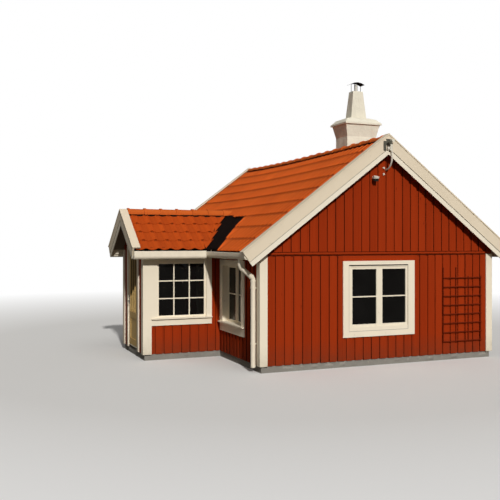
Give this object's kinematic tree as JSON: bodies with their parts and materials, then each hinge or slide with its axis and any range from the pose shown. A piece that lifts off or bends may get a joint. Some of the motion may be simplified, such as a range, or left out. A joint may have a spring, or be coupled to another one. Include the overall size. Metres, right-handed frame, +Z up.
{
  "type": "timber cottage with a gabled porch",
  "caption": "Small red timber cottage with white trim, a clay pantile roof, a rendered chimney and a gabled entrance porch whose door swings open.",
  "frame": {"origin": "on the ground, in the middle of the overall plan", "axes": "+Z up, +Y from the front gable to the back gable, +X away from the porch"},
  "size_m": [7.3966, 7.183, 5.764],
  "materials": {
    "black_metal": "matt black paint",
    "clay_tile": "matt fired clay, weathered",
    "dark_metal": "dark enamel",
    "dark_red_paint": "dark red stain",
    "deck_wood": "sawn boards",
    "floor_wood": "worn boards",
    "glass": "clear, dark room behind",
    "grey_ceramic": "grey glaze",
    "hinge_steel": "dull steel",
    "lamp_white": "white enamel",
    "lime_render": "rough white lime plaster",
    "ochre_paint": "painted, semi matt",
    "red_paint": "matt earth red paint on sawn boards",
    "stone": "rough fieldstone",
    "white_metal": "semi gloss paint",
    "white_paint": "warm white oil paint"
  },
  "bodies": {
    "cottage": {"plinth": "stone", "floor": "floor_wood", "porch_floor": "floor_wood", "front_wall": "red_paint", "back_wall": "red_paint", "right_wall": "red_paint", "left_wall_front": "red_paint", "left_wall_rear": "red_paint", "inner_door_lintel": "red_paint", "front_gable_boarding": "red_paint", "back_gable_boarding": "red_paint", "corner_boards": "white_paint", "porch_near_wall": "red_paint", "porch_far_wall": "red_paint", "porch_front_piers": "red_paint", "porch_gable": "red_paint", "porch_corner_boards": "white_paint", "roof_deck_left": "deck_wood", "roof_deck_right": "deck_wood", "roof_tiles_left": "clay_tile", "roof_tiles_right": "clay_tile", "ridge_tiles": "clay_tile", "porch_deck": "deck_wood", "porch_tiles": "clay_tile", "porch_ridge_tiles": "clay_tile", "valley_flashing": "black_metal", "front_bargeboards": "white_paint", "back_bargeboards": "white_paint", "porch_bargeboards": "white_paint", "verge_caps": "white_paint", "fascia_boards": "white_paint", "gutters": "white_metal", "downpipes": "white_metal", "front_back_window_frames": "white_paint", "side_window_frames": "white_paint", "window_sashes": "white_paint", "window_panes": "glass", "porch_window_frames": "white_paint", "porch_window_sashes": "white_paint", "porch_window_panes": "glass", "door_frame": "white_paint", "door_hinges": "hinge_steel", "chimney_shaft": "lime_render", "chimney_crown": "lime_render", "chimney_stack": "lime_render", "flue_pipe": "black_metal", "rain_hood": "black_metal", "trellis": "dark_red_paint", "gable_lamp": "lamp_white", "service_bracket": "grey_ceramic"},
    "door": {"door_leaf": "ochre_paint", "door_panes": "glass", "door_handle": "dark_metal"}
  },
  "joints": [
    {"name": "entrance_door", "type": "hinge", "parent": "cottage", "child": "door", "pos_m": [-3.41329, -0.637, 1.14], "axis": [0, 0, 1], "range_deg": [0, 100]}
  ]
}
